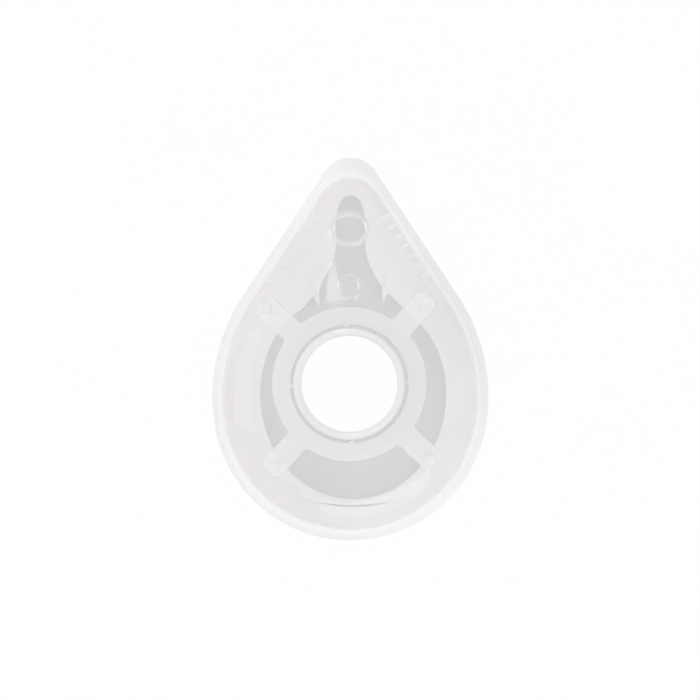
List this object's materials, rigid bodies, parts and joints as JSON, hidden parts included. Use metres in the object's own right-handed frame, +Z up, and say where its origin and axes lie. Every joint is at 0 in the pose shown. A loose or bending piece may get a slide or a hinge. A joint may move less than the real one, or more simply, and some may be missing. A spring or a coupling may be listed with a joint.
{
  "type": "anesthesia face mask",
  "caption": "Clear domed breathing mask with a soft face cuff, a 22 mm circuit port and a strap hook ring.",
  "frame": {"origin": "centre of the bounding box in plan, on the floor that the cuff rests on", "axes": "+Z up out of the port, +Y towards the nose end, X across the face, symmetric about X = 0"},
  "size_m": [0.0648, 0.0898, 0.0475],
  "materials": {
    "clear_shell": "clear moulded plastic, glossy",
    "soft_cuff": "milky translucent soft elastomer, satin",
    "ring_plastic": "milky translucent moulded plastic"
  },
  "bodies": {
    "root": {"mask_shell": "clear_shell", "cuff": "soft_cuff", "hook_ring": "ring_plastic"}
  },
  "joints": []
}
